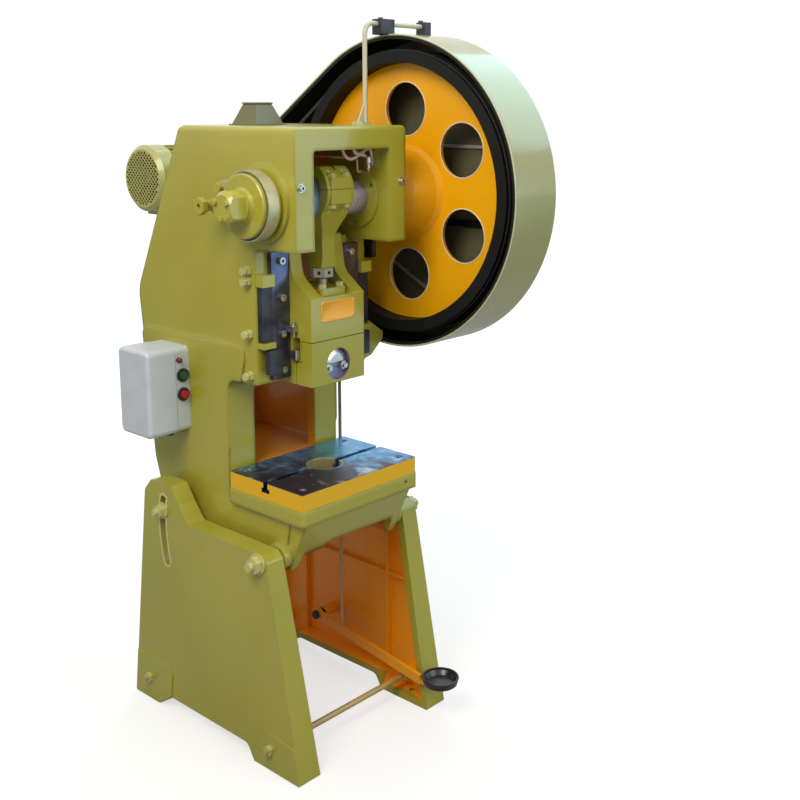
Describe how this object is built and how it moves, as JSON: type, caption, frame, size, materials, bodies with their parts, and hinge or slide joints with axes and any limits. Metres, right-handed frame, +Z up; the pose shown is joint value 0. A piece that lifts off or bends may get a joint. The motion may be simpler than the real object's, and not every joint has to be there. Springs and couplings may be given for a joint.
{
  "type": "mechanical power press",
  "caption": "Open-back inclinable C-frame crank press with side flywheel, belt guard, ram, bolster, two-legged tilting stand and foot treadle.",
  "frame": {"origin": "centre of the four anchor holes, on the floor under the feet", "axes": "+Z up, +Y to the rear, +X to the operator's right (the flywheel's side)"},
  "size_m": [0.831, 1.129, 2.065],
  "materials": {
    "green_paint": "glossy olive-green machinery enamel",
    "orange_paint": "satin orange machinery enamel",
    "bolster_steel": "ground steel, front edge painted yellow-orange",
    "machined_steel": "turned and ground, oily blue-grey",
    "dark_steel": "blackened, satin",
    "bright_fastener": "plated, semi-bright",
    "rod_iron": "painted over as-cast skin, machined ends",
    "bronze": "turned bronze",
    "copper": "drawn copper tube",
    "lining": "woven friction lining",
    "rubber": "black, matt",
    "box_grey": "light grey moulded",
    "black_plastic": "black",
    "button_green": "dark green",
    "button_red": "red",
    "lamp_red": "dark red lens",
    "tie_paint": "tan-olive paint over bar"
  },
  "bodies": {
    "stand": {"left_leg": "green_paint", "right_leg": "green_paint", "tie_rods": "tie_paint", "tie_rod_nuts": "dark_steel", "pivot_bolts": "dark_steel", "treadle_pin": "dark_steel"},
    "frame": {"frame_casting": "green_paint", "bolster_plate": "bolster_steel", "socket_screws": "dark_steel", "lock_bolts": "dark_steel", "bearing_bushes": "bronze", "guide_bars": "machined_steel", "gib_backing": "dark_steel", "gib_keepers": "green_paint", "hexagon_bolts": "bright_fastener", "knockout_stops": "bright_fastener", "brake_band": "dark_steel", "brake_lining": "lining", "brake_anchors": "dark_steel", "motor_bracket": "green_paint", "motor_housing": "green_paint", "fan_cover": "green_paint", "terminal_box": "green_paint", "belt_guard": "green_paint", "guard_stays": "green_paint", "guard_clamps": "dark_steel", "drive_belts": "rubber", "oil_box": "green_paint", "oil_pipes": "copper", "oil_cups": "bright_fastener", "clutch_bracket": "green_paint", "return_spring": "dark_steel", "control_box_base": "box_grey", "control_box_cover": "box_grey", "box_fittings": "black_plastic", "indicator_lamp": "lamp_red"},
    "crankshaft": {"crankshaft": "machined_steel", "crank_collars": "machined_steel", "brake_drum": "machined_steel"},
    "connecting_rod": {"connecting_rod": "rod_iron", "rod_cap": "rod_iron", "rod_cap_bolts": "dark_steel", "rod_bearing": "bronze"},
    "adjusting_screw": {"ball_screw": "machined_steel"},
    "slide": {"slide_casting": "green_paint", "shank_clamp": "green_paint", "slide_fasteners": "dark_steel", "ball_cap": "machined_steel"},
    "knockout_bar": {"knockout_bar": "bright_fastener"},
    "flywheel": {"flywheel": "orange_paint", "flywheel_bush": "bronze"},
    "motor_rotor": {"motor_shaft": "machined_steel", "motor_pulley": "rod_iron", "motor_fan": "black_plastic"},
    "treadle": {"treadle_lever": "orange_paint", "pedal_pad": "rubber"},
    "pull_rod": {"pull_rod": "dark_steel"},
    "clutch_lever": {"clutch_lever": "dark_steel"},
    "start_button": {"start_button": "button_green"},
    "stop_button": {"stop_button": "button_red"}
  },
  "joints": [
    {"name": "frame_tilt", "type": "hinge", "parent": "stand", "child": "frame", "pos_m": [0, -0.2445, 0.602], "axis": [-1, 0, 0], "range_deg": [0, 18]},
    {"name": "crank_turn", "type": "hinge", "parent": "frame", "child": "crankshaft", "pos_m": [0, -0.1935, 1.561], "axis": [-1, 0, 0], "range_deg": [0, 180]},
    {"name": "rod_swing", "type": "hinge", "parent": "crankshaft", "child": "connecting_rod", "pos_m": [0, -0.1935, 1.5885], "axis": [-1, 0, 0], "range_deg": [-180, 0]},
    {"name": "screw_turn", "type": "hinge", "parent": "connecting_rod", "child": "adjusting_screw", "pos_m": [0, -0.1935, 1.36], "axis": [0, 0, 1], "continuous": true},
    {"name": "slide_stroke", "type": "slide", "parent": "frame", "child": "slide", "axis": [0, 0, 1], "range_m": [-0.0551, 0]},
    {"name": "knockout_lift", "type": "slide", "parent": "slide", "child": "knockout_bar", "axis": [0, 0, 1], "range_m": [0, 0.033]},
    {"name": "flywheel_spin", "type": "hinge", "parent": "frame", "child": "flywheel", "pos_m": [0, -0.1935, 1.561], "axis": [-1, 0, 0], "continuous": true},
    {"name": "motor_spin", "type": "hinge", "parent": "frame", "child": "motor_rotor", "pos_m": [0, 0.3665, 1.604], "axis": [-1, 0, 0], "continuous": true},
    {"name": "treadle_press", "type": "hinge", "parent": "stand", "child": "treadle", "pos_m": [0.207, 0.0675, 0.171], "axis": [1, 0, 0], "range_deg": [0, 4.5], "stiffness_Nm_per_rad": 100, "springref_deg": -11.46},
    {"name": "pull_rod_travel", "type": "slide", "parent": "frame", "child": "pull_rod", "axis": [0, 0, 1], "range_m": [-0.008, 0], "deforming": ["return_spring"]},
    {"name": "clutch_lever_turn", "type": "hinge", "parent": "frame", "child": "clutch_lever", "pos_m": [0.234, 0.0215, 1.385], "axis": [1, 0, 0], "range_deg": [0, 7.5]},
    {"name": "start_button_press", "type": "slide", "parent": "frame", "child": "start_button", "axis": [0, 1, 0], "range_m": [0, 0.004], "stiffness_N_per_m": 1000},
    {"name": "stop_button_press", "type": "slide", "parent": "frame", "child": "stop_button", "axis": [0, 1, 0], "range_m": [0, 0.004], "stiffness_N_per_m": 1000}
  ],
  "couplings": [
    {"joint": "rod_swing", "follows": "crank_turn", "ratio": -1},
    {"joint": "slide_stroke", "follows": "crank_turn", "m_per_rad": -0.017507},
    {"joint": "motor_spin", "follows": "flywheel_spin", "ratio": 9.575},
    {"joint": "pull_rod_travel", "follows": "treadle_press", "m_per_rad": -0.0898},
    {"joint": "clutch_lever_turn", "follows": "treadle_press", "ratio": 1.633}
  ]
}
